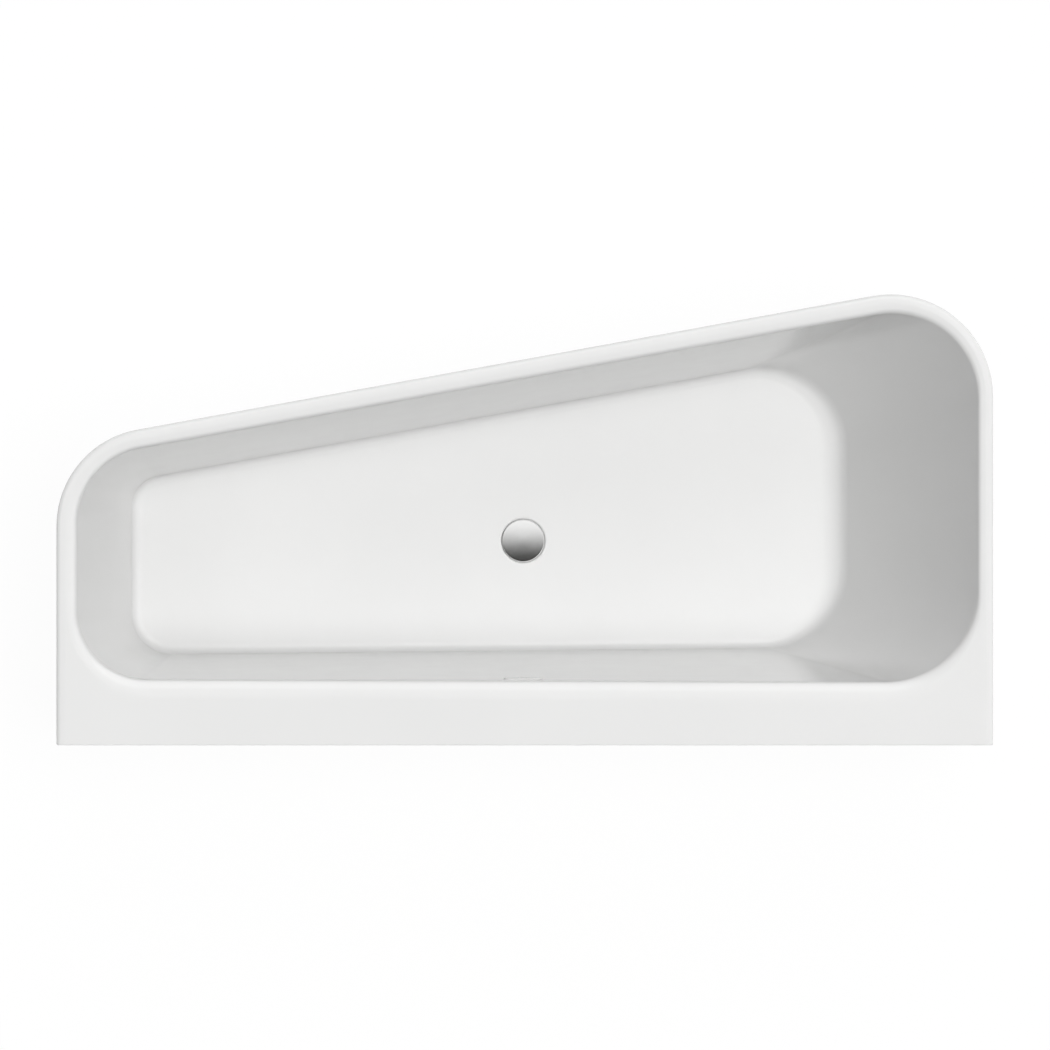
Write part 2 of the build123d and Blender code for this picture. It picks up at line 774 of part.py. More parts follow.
def trap_union_nut():
    bottom = trap_top + union_nut_gap
    top = bottom + union_nut_height
    outer = neck_radius + neck_flange + union_nut_wall
    shoulder = neck_top - neck_flange
    nut = disc(outer, bottom, top)
    for rib in grip_ribs(outer, bottom, top):
        nut += rib
    nut -= disc(tail_radius + thread_gap, bottom, top)
    nut -= disc(neck_radius + thread_gap, bottom, shoulder)
    return nut - disc(neck_radius + neck_flange + thread_gap, shoulder - thread_gap, union_seal_top + thread_gap)


def trap_union_seal():
    return ring(neck_radius + neck_flange, tail_radius - tail_wall, neck_top, union_seal_top)


def dip_tube():
    return ring(dip_tube_radius, dip_tube_radius - dip_tube_wall, dip_tube_bottom, neck_top)


def cleaning_cap():
    cap = disc(trap_radius - trap_wall, trap_bottom - cleaning_cap_thickness, trap_bottom)
    cap += disc(cleaning_hole - thread_gap, trap_bottom, trap_bottom + cleaning_cap_plug)
    inner = cleaning_hole - thread_gap - trap_wall
    cap -= disc(inner, trap_bottom, trap_bottom + cleaning_cap_plug)
    for rib in grip_ribs(trap_radius - trap_wall, trap_bottom - cleaning_cap_thickness, trap_bottom):
        cap += rib
    return cap


def outlet_nut():
    start = branch_end - outlet_nut_length + outlet_seal_length
    inner = branch_radius + thread_gap
    plane = Plane((waste_x, start, outlet_z), z_dir=(0, 1, 0))
    nut = tube_along(plane, inner + port_wall, inner, outlet_nut_length - outlet_seal_length)
    lip_plane = plane.offset(outlet_nut_length - outlet_seal_length)
    nut += tube_along(lip_plane, inner + port_wall, branch_radius, outlet_seal_length)
    end_plane = lip_plane.offset(outlet_seal_length)
    return nut + tube_along(end_plane, inner + port_wall, outlet_radius + thread_gap, port_wall)


def outlet_seal():
    plane = Plane((waste_x, branch_end, outlet_z), z_dir=(0, 1, 0))
    return tube_along(plane, branch_radius - thread_gap, outlet_radius + thread_gap, outlet_seal_length)


def outlet_pipe():
    start = branch_start + trap_wall
    plane = Plane((waste_x, start, outlet_z), z_dir=(0, 1, 0))
    pipe = tube_along(plane, outlet_radius, outlet_radius - outlet_wall, outlet_end - start)
    bead_plane = plane.offset(outlet_end - spigot_length - bead_width - start)
    return pipe + tube_along(bead_plane, outlet_radius + bead_height, outlet_radius - outlet_wall, bead_width)


# ---- all pieces

pieces = {
    "tub_shell": tub_shell(),
    "glass_fibre_backing": glass_fibre_backing(),
    "base_board": base_board(),
    "back_batten": back_batten(),
    "apron": apron(),
    "rail_screws": [screw(plane, rail_screw_length) for plane in rail_screw_planes()],
    "foot_weld_nuts": foot_nuts(board_bottom - rail_wall),
    "foot_lock_nuts": foot_nuts(board_bottom - rail_wall - nut_height),
    "rib_screws": [screw(p, rib_screw_length) for x in rail_positions.values() for p in rib_screw_planes(x)],
    "bracket_bolts": [screw(bracket_bolt_plane(x), bracket_bolt_length) for x in rail_positions.values()],
    "anchor_screws": [screw(anchor_screw_plane(x), anchor_screw_length) for x in anchor_positions],
    "rim_pads": [rim_pad(x) for x in anchor_positions],
    "waste_top_gasket": ring(gasket_outer_radius, waste_hole_radius, dish_z, flange_bottom),
    "waste_flange": waste_flange(),
    "waste_lower_gasket": ring(banjo_radius, tail_radius + thread_gap, banjo_top, boss_bottom),
    "overflow_banjo": overflow_banjo(),
    "banjo_washer": ring(banjo_washer_radius, tail_radius + thread_gap, backnut_top, banjo_bottom),
    "waste_backnut": hex_nut(
        backnut_across_flats, tail_radius + thread_gap, backnut_top - backnut_height, backnut_top
    ),
    "plug_guide": plug_guide(),
    "plug_cap": plug_cap(),
    "plug_stem": plug_stem(),
    "plug_seal": plug_seal(),
    "overflow_cover": overflow_cover(),
    "overflow_seal": overflow_seal(),
    "overflow_body": overflow_body(),
    "overflow_hose": overflow_hose(),
    "overflow_upper_nut": hose_nut(
        Plane((waste_x, overflow_axis.Y, overflow_port_end), z_dir=(0, 0, -1))
    ),
    "overflow_lower_nut": hose_nut(Plane((waste_x, banjo_port_end, port_z), z_dir=(0, 1, 0))),
    "trap_union_nut": trap_union_nut(),
    "trap_union_seal": trap_union_seal(),
    "trap_bowl": trap_bowl(),
    "dip_tube": dip_tube(),
    "cleaning_cap": cleaning_cap(),
    "outlet_nut": outlet_nut(),
    "outlet_seal": outlet_seal(),
    "outlet_pipe": outlet_pipe(),
}
for rail, x in rail_positions.items():
    pieces[f"cross_rail_{rail}"] = cross_rail(x)
    pieces[f"apron_rib_{rail}"] = apron_rib(x)
    pieces[f"apron_bracket_{rail}"] = apron_bracket(x)
    for side, y in foot_places(x).items():
        pieces[f"foot_stud_{rail}_{side}"] = foot_stud(x, y)
        pieces[f"foot_pad_{rail}_{side}"] = foot_pad(x, y)
for end, x in zip(("wide", "middle", "narrow"), anchor_positions):
    pieces[f"wall_anchor_{end}"] = wall_anchor(x)

for name, shape in pieces.items():
    if isinstance(shape, list):
        shape = Compound(children=shape)
    export_step(shape, f"parts/{name}.step")
print(len(pieces), "pieces written")
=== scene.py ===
import json
import math

import bmesh
import bpy
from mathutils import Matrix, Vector


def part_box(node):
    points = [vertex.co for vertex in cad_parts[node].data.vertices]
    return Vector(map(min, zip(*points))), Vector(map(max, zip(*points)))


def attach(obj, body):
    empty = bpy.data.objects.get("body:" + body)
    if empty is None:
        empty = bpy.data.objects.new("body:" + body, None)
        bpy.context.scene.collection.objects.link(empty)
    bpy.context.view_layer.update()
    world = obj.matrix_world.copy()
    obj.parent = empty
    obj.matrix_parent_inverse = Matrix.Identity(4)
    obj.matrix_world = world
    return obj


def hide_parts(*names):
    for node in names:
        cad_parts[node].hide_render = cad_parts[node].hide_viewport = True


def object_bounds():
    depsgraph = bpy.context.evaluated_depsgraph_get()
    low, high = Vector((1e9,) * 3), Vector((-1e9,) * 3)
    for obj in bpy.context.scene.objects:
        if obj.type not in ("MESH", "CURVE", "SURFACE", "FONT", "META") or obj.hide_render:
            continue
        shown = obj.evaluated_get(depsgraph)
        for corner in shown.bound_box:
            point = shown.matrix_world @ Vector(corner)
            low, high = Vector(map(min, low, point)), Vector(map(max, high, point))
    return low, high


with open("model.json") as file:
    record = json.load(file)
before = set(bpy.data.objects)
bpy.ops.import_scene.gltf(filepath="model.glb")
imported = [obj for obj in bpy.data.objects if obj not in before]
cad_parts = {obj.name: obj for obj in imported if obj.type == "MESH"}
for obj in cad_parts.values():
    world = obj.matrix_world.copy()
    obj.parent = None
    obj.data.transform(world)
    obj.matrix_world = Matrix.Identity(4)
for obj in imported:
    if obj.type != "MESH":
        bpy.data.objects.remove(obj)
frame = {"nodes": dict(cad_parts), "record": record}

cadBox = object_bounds()
nodes = frame["nodes"]
scene = bpy.context.scene
bpy.ops.object.select_all(action="DESELECT")
print("frame loaded,", len(nodes), "nodes")


# camera, lamps, world and floor

cameraSetup = {
    "frameWidth": 1.7916,          # what the picture's width spans at rim level
    "aim": (-0.0004, 0.009),
    "lens": 200.0,
    "sensor": 36.0,
    "reach": 100.0,
}
# compass direction, degrees off straight overhead, degrees it spans, strength, seen in gloss
lamps = {
    "wideEndLight": (180.0, 16.0, 28.0, 2.38, False),
    "narrowEndLight": (0.0, 25.0, 24.0, 0.27, False),
    "frontLight": (256.0, 51.0, 50.0, 0.74, True),
}
studio = {
    "worldLight": 0.20,
    "ceilingFade": (-0.16, 0.16),  # from white to dark across the ceiling, as the Y of the direction
    "ceilingHeight": (0.75, 0.92),
    "ceilingDark": (0.065, 0.065, 0.063),
    "floorSize": 30.0,
    "floorLevel": -0.0005,
    "floorColour": (0.9, 0.9, 0.9, 1.0),
    "floorRoughness": 0.8,
    "floorGlow": 0.95,             # how much of the floor's white is its own, the rest takes the shadow
}


def makeCamera(setup, rimLevel):
    data = bpy.data.cameras.new("camera")
    data.lens = setup["lens"]
    data.sensor_width = setup["sensor"]
    data.clip_end = setup["reach"]
    camera = bpy.data.objects.new("camera", data)
    scene.collection.objects.link(camera)
    distance = setup["frameWidth"] * setup["lens"] / setup["sensor"]
    camera.location = (setup["aim"][0], setup["aim"][1], rimLevel + distance)
    camera.rotation_euler = (0.0, 0.0, math.pi)      # the free front is at the picture's top
    scene.camera = camera


def addLamp(name, compass, tilt, spread, strength, glossy):
    data = bpy.data.lights.new(name, "SUN")
    data.angle = math.radians(spread)
    data.energy = strength
    lamp = bpy.data.objects.new(name, data)
    lamp.rotation_euler = (0.0, math.radians(tilt), math.radians(compass))
    lamp.visible_glossy = glossy       # where it isn't, chrome mirrors the world's ceiling alone
    scene.collection.objects.link(lamp)


def blendOf(tree, operation, first, second):
    blend = tree.nodes.new("ShaderNodeMath")
    blend.operation = operation
    tree.links.new(first, blend.inputs[0])
    if isinstance(second, float):
        blend.inputs[1].default_value = second
    else:
        tree.links.new(second, blend.inputs[1])
    return blend.outputs[0]


def fade(tree, value, limits):
    step = tree.nodes.new("ShaderNodeMapRange")
    step.interpolation_type = "SMOOTHSTEP"
    step.inputs["From Min"].default_value, step.inputs["From Max"].default_value = limits
    tree.links.new(value, step.inputs["Value"])
    return step.outputs["Result"]


def makeWorld(setup):
    white = (1.0, 1.0, 1.0, 1.0)
    world = bpy.data.worlds.new("studio")
    world.use_nodes = True
    tree = world.node_tree
    light = tree.nodes["Background"]
    light.inputs["Color"].default_value = white
    light.inputs["Strength"].default_value = setup["worldLight"]
    shown = tree.nodes.new("ShaderNodeBackground")
    shown.inputs["Color"].default_value = white
    # glossy rays see a white room whose ceiling is dark towards the wall side
    direction = tree.nodes.new("ShaderNodeTexCoord")
    parts = tree.nodes.new("ShaderNodeSeparateXYZ")
    tree.links.new(direction.outputs["Generated"], parts.inputs["Vector"])
    wallward = fade(tree, parts.outputs["Y"], setup["ceilingFade"])
    upward = fade(tree, parts.outputs["Z"], setup["ceilingHeight"])
    room = tree.nodes.new("ShaderNodeMix")
    room.data_type = "RGBA"
    room.inputs["A"].default_value = white
    room.inputs["B"].default_value = (*setup["ceilingDark"], 1.0)
    tree.links.new(blendOf(tree, "MULTIPLY", wallward, upward), room.inputs["Factor"])
    mirrored = tree.nodes.new("ShaderNodeBackground")
    tree.links.new(room.outputs["Result"], mirrored.inputs["Color"])
    rays = tree.nodes.new("ShaderNodeLightPath")
    bounced = blendOf(tree, "MAXIMUM", rays.outputs["Is Glossy Ray"], rays.outputs["Is Transmission Ray"])
    backdrop = None
    for factor, seen in ((bounced, mirrored), (rays.outputs["Is Camera Ray"], shown)):
        mix = tree.nodes.new("ShaderNodeMixShader")
        tree.links.new(factor, mix.inputs["Fac"])
        tree.links.new((backdrop or light).outputs[0], mix.inputs[1])
        tree.links.new(seen.outputs[0], mix.inputs[2])
        backdrop = mix
    tree.links.new(backdrop.outputs[0], tree.nodes["World Output"].inputs["Surface"])
    scene.world = world


def makeFloor(setup):
    bpy.ops.object.select_all(action="DESELECT")
    bpy.ops.mesh.primitive_plane_add(size=setup["floorSize"], location=(0.0, 0.0, setup["floorLevel"]))
    floor = bpy.context.object
    floor.name = "floor"
    material = bpy.data.materials.new("paleFloor")
    material.use_nodes = True
    tree = material.node_tree
    shader = tree.nodes["Principled BSDF"]
    shader.inputs["Base Color"].default_value = setup["floorColour"]
    shader.inputs["Roughness"].default_value = setup["floorRoughness"]
    glow = tree.nodes.new("ShaderNodeEmission")
    rays = tree.nodes.new("ShaderNodeLightPath")
    seen = rays.outputs["Is Camera Ray"]
    for kind in ("Is Glossy Ray", "Is Transmission Ray"):
        seen = blendOf(tree, "MAXIMUM", seen, rays.outputs[kind])
    mix = tree.nodes.new("ShaderNodeMixShader")
    tree.links.new(blendOf(tree, "MULTIPLY", seen, setup["floorGlow"]), mix.inputs["Fac"])
    tree.links.new(shader.outputs[0], mix.inputs[1])
    tree.links.new(glow.outputs[0], mix.inputs[2])
    tree.links.new(mix.outputs[0], tree.nodes["Material Output"].inputs["Surface"])
    floor.data.materials.append(material)


scene.view_settings.view_transform = "Standard"
rimLevel = cadBox[1][2]
makeCamera(cameraSetup, rimLevel)
makeWorld(studio)
for lampName, setting in lamps.items():
    addLamp(lampName, *setting)
makeFloor(studio)
print("camera, lamps and floor ready")


# finishes

acrylic = {
    "tones": ((0.716, 0.716, 0.712), (0.727, 0.727, 0.723)),
    "cloudScale": 5.0,
    "hazeScale": 20.0,
    "gloss": (0.07, 0.11),         # roughness from the smoothest to the dullest places
    "waves": (14.0, 0.02, 0.002),  # scale, strength and depth of the sheet's faint waves
}
glassFibre = {
    "tones": ((0.52, 0.50, 0.38), (0.74, 0.72, 0.60), (0.86, 0.85, 0.76)),
    "strandDirections": ((0.1, 0.5, 0.3), (0.5, 2.1, 1.2), (1.1, -0.9, 2.1), (-0.7, 1.5, 0.9),
                         (0.3, -2.0, -0.6)),
    "strandStretch": (22.0, 300.0, 300.0),
    "strandRelief": (0.5, 0.0015), # strength and depth of the bumps
    "resinScale": 7.0,
    "shares": (0.75, 0.3),         # of the strands and the resin in the tone
    "toneRange": (0.45, 0.75),
    "gloss": (0.28, 0.6),
}
chipboard = {
    "chipStretch": (1.0, 1.35, 1.0),
    "chipScale": 300.0,
    "dustScale": 900.0,
    "shares": (0.6, 0.4),          # of the chips and the dust in the tone
    "tones": ((0.28, 0.18, 0.09), (0.50, 0.35, 0.19), (0.62, 0.46, 0.27), (0.76, 0.61, 0.40)),
    "toneRange": (0.15, 0.8),
    "chipRelief": (0.3, 0.001),
}
timber = {
    "tones": ((0.46, 0.30, 0.15), (0.66, 0.47, 0.26), (0.74, 0.56, 0.34)),
    "toneRange": (0.35, 0.65),
    "ringStretch": (0.7, 26.0, 26.0),
    "ringScale": 2.0,
    "fibreStretch": (6.0, 420.0, 420.0),
    "fibreRelief": (0.25, 0.0006),
    "shares": (0.7, 0.3),          # of the rings and the fibres in the tone
    "gloss": (0.6, 0.8),
}
galvanised = {
    "spangleScale": 75.0,
    "dullScale": 24.0,
    "dullRelief": (0.06, 0.0005),
    "shares": (0.55, 0.45),        # of the spangle and the dull patches in the tone
    "tones": ((0.50, 0.52, 0.54), (0.62, 0.64, 0.66), (0.74, 0.76, 0.78)),
    "toneRange": (0.2, 0.75),
    "gloss": (0.30, 0.52),
}
mouldedClouds = 18.0               # scale of the clouds in the tone
mouldedDepth = 0.0003              # depth of the grain
moulded = {                        # two tones, roughness from and to, grain scale and strength
    "white_trim": ((0.70, 0.70, 0.695), (0.73, 0.73, 0.725), (0.22, 0.32), (260.0, 0.03)),
    "white_plastic": ((0.80, 0.80, 0.77), (0.85, 0.85, 0.82), (0.32, 0.44), (420.0, 0.08)),
    "black_plastic": ((0.022, 0.022, 0.023), (0.040, 0.040, 0.041), (0.42, 0.55), (700.0, 0.15)),
    "black_rubber": ((0.018, 0.018, 0.018), (0.045, 0.044, 0.043), (0.65, 0.85), (500.0, 0.20)),
    "grey_hose": ((0.52, 0.53, 0.54), (0.60, 0.61, 0.62), (0.38, 0.50), (300.0, 0.06)),
    "grey_pipe": ((0.20, 0.205, 0.21), (0.26, 0.265, 0.27), (0.34, 0.46), (350.0, 0.06)),
}
metals = {                         # two tones, roughness from and to, scale of the marks
    "chrome": ((0.86, 0.86, 0.855), (0.885, 0.885, 0.88), (0.09, 0.13), 90.0),
    "brass": ((0.60, 0.44, 0.18), (0.76, 0.60, 0.30), (0.24, 0.38), 160.0),
    "screw_steel": ((0.62, 0.58, 0.42), (0.78, 0.74, 0.58), (0.26, 0.42), 220.0),
}


def newFinish(name, roughness, metallic=0.0):
    material = bpy.data.materials.new(name)
    material.use_nodes = True
    shader = material.node_tree.nodes["Principled BSDF"]
    shader.inputs["Roughness"].default_value = roughness
    shader.inputs["Metallic"].default_value = metallic
    return material, material.node_tree, shader


def pattern(tree, stretch=(1.0, 1.0, 1.0), turn=(0.0, 0.0, 0.0)):     # turned first, then stretched
    coords = tree.nodes.new("ShaderNodeTexCoord")
    turned = tree.nodes.new("ShaderNodeMapping")
    turned.inputs["Rotation"].default_value = turn
    stretched = tree.nodes.new("ShaderNodeMapping")
    stretched.inputs["Scale"].default_value = stretch
    tree.links.new(coords.outputs["Object"], turned.inputs["Vector"])
    tree.links.new(turned.outputs["Vector"], stretched.inputs["Vector"])
    return stretched.outputs["Vector"]


def clouds(tree, vector, scale, detail=3.0):
    noise = tree.nodes.new("ShaderNodeTexNoise")
    noise.inputs["Scale"].default_value = scale
    noise.inputs["Detail"].default_value = detail
    tree.links.new(vector, noise.inputs["Vector"])
    return noise.outputs["Fac"]


def cells(tree, vector, scale):
    voronoi = tree.nodes.new("ShaderNodeTexVoronoi")
    voronoi.inputs["Scale"].default_value = scale
    tree.links.new(vector, voronoi.inputs["Vector"])
    grey = tree.nodes.new("ShaderNodeSeparateColor")
    tree.links.new(voronoi.outputs["Color"], grey.inputs["Color"])
    return grey.outputs["Red"], voronoi.outputs["Distance"]


def tones(tree, value, colours, start=0.3, end=0.7):
    ramp = tree.nodes.new("ShaderNodeValToRGB")
    stops = ramp.color_ramp.elements
    while len(stops) < len(colours):
        stops.new(0.5)
    for i, colour in enumerate(colours):
        stops[i].position = start + (end - start) * i / (len(colours) - 1)
        stops[i].color = (*colour, 1.0)
    tree.links.new(value, ramp.inputs["Fac"])
    return ramp.outputs["Color"]


def span(tree, value, lowest, highest, start=0.3, end=0.7):
    spread = tree.nodes.new("ShaderNodeMapRange")
    spread.inputs["From Min"].default_value = start
    spread.inputs["From Max"].default_value = end
    spread.inputs["To Min"].default_value = lowest
    spread.inputs["To Max"].default_value = highest
    tree.links.new(value, spread.inputs["Value"])
    return spread.outputs["Result"]


def mixOf(tree, first, second, shares):
    parts = [blendOf(tree, "MULTIPLY", value, share) for value, share in zip((first, second), shares)]
    return blendOf(tree, "ADD", *parts)


def relief(tree, shader, height, strength, depth):
    bump = tree.nodes.new("ShaderNodeBump")
    bump.inputs["Strength"].default_value = strength
    bump.inputs["Distance"].default_value = depth
    tree.links.new(height, bump.inputs["Height"])
    tree.links.new(bump.outputs["Normal"], shader.inputs["Normal"])


def acrylicFinish():
    material, tree, shader = newFinish("white_acrylic", 0.1)
    place = pattern(tree)
    cloud = clouds(tree, place, acrylic["cloudScale"])
    tree.links.new(tones(tree, cloud, acrylic["tones"]), shader.inputs["Base Color"])
    haze = clouds(tree, place, acrylic["hazeScale"], detail=5.0)
    tree.links.new(span(tree, haze, *acrylic["gloss"]), shader.inputs["Roughness"])
    scale, strength, depth = acrylic["waves"]
    relief(tree, shader, clouds(tree, place, scale, detail=1.0), strength, depth)
    return material


def glassFibreFinish():
    material, tree, shader = newFinish("glass_fibre", 0.5)
    strands = None
    for turn in glassFibre["strandDirections"]:
        place = pattern(tree, glassFibre["strandStretch"], turn)
        layer = clouds(tree, place, 1.0, detail=2.0)
        strands = layer if strands is None else blendOf(tree, "MAXIMUM", strands, layer)
    resin = clouds(tree, pattern(tree), glassFibre["resinScale"], detail=4.0)
    mixed = mixOf(tree, strands, resin, glassFibre["shares"])
    colour = tones(tree, mixed, glassFibre["tones"], *glassFibre["toneRange"])
    tree.links.new(colour, shader.inputs["Base Color"])
    tree.links.new(span(tree, resin, *glassFibre["gloss"]), shader.inputs["Roughness"])
    relief(tree, shader, strands, *glassFibre["strandRelief"])
    return material


def chipboardFinish():
    material, tree, shader = newFinish("chipboard", 0.8)
    place = pattern(tree, chipboard["chipStretch"])
    chips, edges = cells(tree, place, chipboard["chipScale"])
    dust = clouds(tree, place, chipboard["dustScale"])
    mixed = mixOf(tree, chips, dust, chipboard["shares"])
    colour = tones(tree, mixed, chipboard["tones"], *chipboard["toneRange"])
    tree.links.new(colour, shader.inputs["Base Color"])
    relief(tree, shader, edges, *chipboard["chipRelief"])
    return material


def timberFinish(name, turn=(0.0, 0.0, 0.0)):
    material, tree, shader = newFinish(name, 0.7)
    rings = clouds(tree, pattern(tree, timber["ringStretch"], turn), timber["ringScale"], detail=2.0)
    fibres = clouds(tree, pattern(tree, timber["fibreStretch"], turn), 1.0)
    mixed = mixOf(tree, rings, fibres, timber["shares"])
    tree.links.new(tones(tree, mixed, timber["tones"], *timber["toneRange"]), shader.inputs["Base Color"])
    tree.links.new(span(tree, fibres, *timber["gloss"]), shader.inputs["Roughness"])
    relief(tree, shader, fibres, *timber["fibreRelief"])
    return material


def galvanisedFinish():
    material, tree, shader = newFinish("galvanised_steel", 0.4, 1.0)
    place = pattern(tree)
    spangle, _ = cells(tree, place, galvanised["spangleScale"])
    dull = clouds(tree, place, galvanised["dullScale"], detail=5.0)
    mixed = mixOf(tree, spangle, dull, galvanised["shares"])
    limits = galvanised["toneRange"]
    tree.links.new(tones(tree, mixed, galvanised["tones"], *limits), shader.inputs["Base Color"])
    tree.links.new(span(tree, mixed, *galvanised["gloss"], *limits), shader.inputs["Roughness"])
    relief(tree, shader, dull, *galvanised["dullRelief"])
    return material


def mouldedFinish(name):
    dark, light, gloss, (grain, strength) = moulded[name]
    material, tree, shader = newFinish(name, gloss[0])
    place = pattern(tree)
    cloud = clouds(tree, place, mouldedClouds)
    tree.links.new(tones(tree, cloud, (dark, light)), shader.inputs["Base Color"])
    tree.links.new(span(tree, cloud, *gloss), shader.inputs["Roughness"])
    relief(tree, shader, clouds(tree, place, grain, detail=1.0), strength, mouldedDepth)
    return material


def metalFinish(name):
    dark, light, gloss, scale = metals[name]
    material, tree, shader = newFinish(name, gloss[0], 1.0)
    marks = clouds(tree, pattern(tree), scale, detail=4.0)
    tree.links.new(tones(tree, marks, (dark, light)), shader.inputs["Base Color"])
    tree.links.new(span(tree, marks, *gloss), shader.inputs["Roughness"])
    return material


materials = {
    "white_acrylic": acrylicFinish(),
    "glass_fibre": glassFibreFinish(),
    "chipboard": chipboardFinish(),
    "timber": timberFinish("timber"),
    "galvanised_steel": galvanisedFinish(),
}
for name in moulded:
    materials[name] = mouldedFinish(name)
for name in metals:
    materials[name] = metalFinish(name)
uprightTimber = timberFinish("timber_upright", (0.0, math.pi / 2, 0.0))
for entry in frame["record"]["subparts"]:
    node = nodes[entry["node"]]
    node.data.materials.clear()
    node.data.materials.append(materials[entry["material_slot"]])
    if entry["node"].startswith("apron_rib"):
        node.data.materials[0] = uprightTimber
print("finishes set")


# outlines: every ring round the bath has four corner arcs joined by straight runs

bath = {
    "frontAngle": 10.3,                                # degrees between the free front and the wall side
    "cornerSteps": 20,
    "outerRadii": (0.003, 0.175, 0.168, 0.003),        # back wide, front wide, front narrow, back narrow
    "rimRadii": (0.155, 0.146, 0.132, 0.120),
    "floorRadii": (0.140, 0.144, 0.054, 0.072),
    "floorLevel": 0.140,
    "lipHeight": 0.045,
    "thickness": 0.005,
    "outerRound": 0.010,
    "crownDrop": 0.0005,                               # how much lower the rim is at the crown's two ends
    "crownTilt": 10.0,
    # share of the way in across the crown, share of its drop, inset at the wall side where the deck is flat
    "crownSteps": ((0.0, 1.0, 0.0006), (0.25, 0.3, 0.0010), (0.42, 0.0, 0.0020), (0.58, 0.0, None),
                   (0.75, 0.3, None), (1.0, 1.0, None)),
    "edgeRound": 0.001,
    "outerAngles": (0.0, 10.0, 20.0, 30.0, 40.0, 50.0, 60.0, 70.0),
    # down the flare on its upper side, and up it again underneath
    "flareAngles": (70.0, 64.0, 58.0, 52.0, 46.0, 40.0, 33.0, 25.0, 17.0, 8.0, 0.0),
    "undersideAngles": (0.0, 22.5, 45.0, 60.0, 75.0, 90.0),
    "wallLevels": (0.20, 0.26, 0.34, 0.42, 0.50),
    "filletSteps": 14,
    "undersideSteps": 10,
    "floorMargin": 0.008,          # from the fillet's foot to the first ring on the floor
}
# inset at rim level, slope in degrees, fillet at the floor, width and drop of the flare at the rim
walls = {
    "backWide": (0.1056, 7.4, 0.018, 0.034, 0.014),
    "backNarrow": (0.112, 4.3, 0.018, 0.034, 0.014),
    "wide": (0.0234, 26.1, 0.050, 0.012, 0.012),
    "front": (0.032, 6.0, 0.018, 0.012, 0.012),
    "narrow": (0.0336, 9.0, 0.018, 0.012, 0.012),
}
cornerSides = (("backWide", "wide"), ("wide", "front"), ("front", "narrow"), ("narrow", "backNarrow"))
ringCount = 4 * (bath["cornerSteps"] + 1)
halfLength = cadBox[1][0]
wallSideY = cadBox[1][1]
frontTan = math.tan(math.radians(bath["frontAngle"]))
frontCos = math.cos(math.radians(bath["frontAngle"]))
wideFrontY = cadBox[0][1] - bath["outerRadii"][1] * (frontTan + 1 / frontCos - 1)


def frontY(x, inset=0.0):
    return wideFrontY + frontTan * (x + halfLength) + inset / frontCos


def cornerPoints(insets):
    wideX = -halfLength + insets["wide"]
    narrowX = halfLength - insets["narrow"]
    points = []
    for x, side in ((wideX, "back"), (wideX, "front"), (narrowX, "front"), (narrowX, "back")):
        share = (x + halfLength) / (2 * halfLength)
        back = insets["backWide"] + (insets["backNarrow"] - insets["backWide"]) * share
        y = wallSideY - back if side == "back" else frontY(x, insets["front"])
        points.append(Vector((x, y, 0.0)))
    return points


def cornerArcs(points, radii):
    arcs = []                      # start, centre, angle, end
    for i, point in enumerate(points):
        before = (points[i - 1] - point).normalized()
        after = (points[(i + 1) % len(points)] - point).normalized()
        half = before.angle(after) / 2
        run = radii[i] / math.tan(half)
        centre = point + (before + after).normalized() * (radii[i] / math.sin(half))
        arcs.append((point + before * run, centre, math.pi - 2 * half, point + after * run))
    return arcs


def straightInset(wall, z):
    inset, slope = walls[wall][:2]
    return inset + (rimLevel - z) * math.tan(math.radians(slope))


def wallInset(wall, z, grow=0.0):
    slope = math.radians(walls[wall][1])
    fillet, flareWidth, flareDrop = walls[wall][2:]
    offset = grow / math.cos(slope)
    radius = fillet + grow
    centreZ = bath["floorLevel"] + fillet
    tangentZ = centreZ - radius * math.sin(slope)
    if z < tangentZ:
        centre = straightInset(wall, tangentZ) - offset + radius * math.cos(slope)
        return centre - math.sqrt(max(radius ** 2 - (centreZ - z) ** 2, 0.0))
    width, drop = flareWidth - grow, flareDrop - grow      # the flare is a quarter of an ellipse
    centreZ = rimLevel - flareDrop
    if drop > 0:
        turn = math.atan(drop / width * math.tan(slope))
        tangentZ = centreZ + drop * math.sin(turn)
        if z > tangentZ:
            centre = straightInset(wall, tangentZ) - offset - width * math.cos(turn)
            return centre + width * math.sqrt(max(1 - ((z - centreZ) / drop) ** 2, 0.0))
    return straightInset(wall, z) - offset


def basinRing(z, grow=0.0, inward=0.0):    # grow goes outwards through the shell, inward across the floor
    insets = {wall: wallInset(wall, z, grow) for wall in walls}
    depth = (rimLevel - z) / (rimLevel - bath["floorLevel"])
    radii = []
    for i, sides in enumerate(cornerSides):
        extra = sum(insets[side] - straightInset(side, z) for side in sides) / 2
        atRim, atFloor = bath["rimRadii"][i], bath["floorRadii"][i]
        radii.append(atRim + (atFloor - atRim) * depth - extra - inward)
    insets = {wall: inset + inward for wall, inset in insets.items()}
    return cornerArcs(cornerPoints(insets), radii), z


def outerRing(z, inset, backInset):
    insets = {"backWide": backInset, "backNarrow": backInset, "wide": inset, "front": inset, "narrow": inset}
    radii = list(bath["outerRadii"])
    radii[1] -= inset
    radii[2] -= inset
    return cornerArcs(cornerPoints(insets), radii), z


# mesh helpers

stackStep = 0.1                    # how far apart the rings of a stack are while they are bridged
sameSpot = 0.00001                 # closer points are one


def editMesh(piece):
    mesh = bmesh.from_edit_mesh(piece.data)
    mesh.verts.ensure_lookup_table()
    return mesh


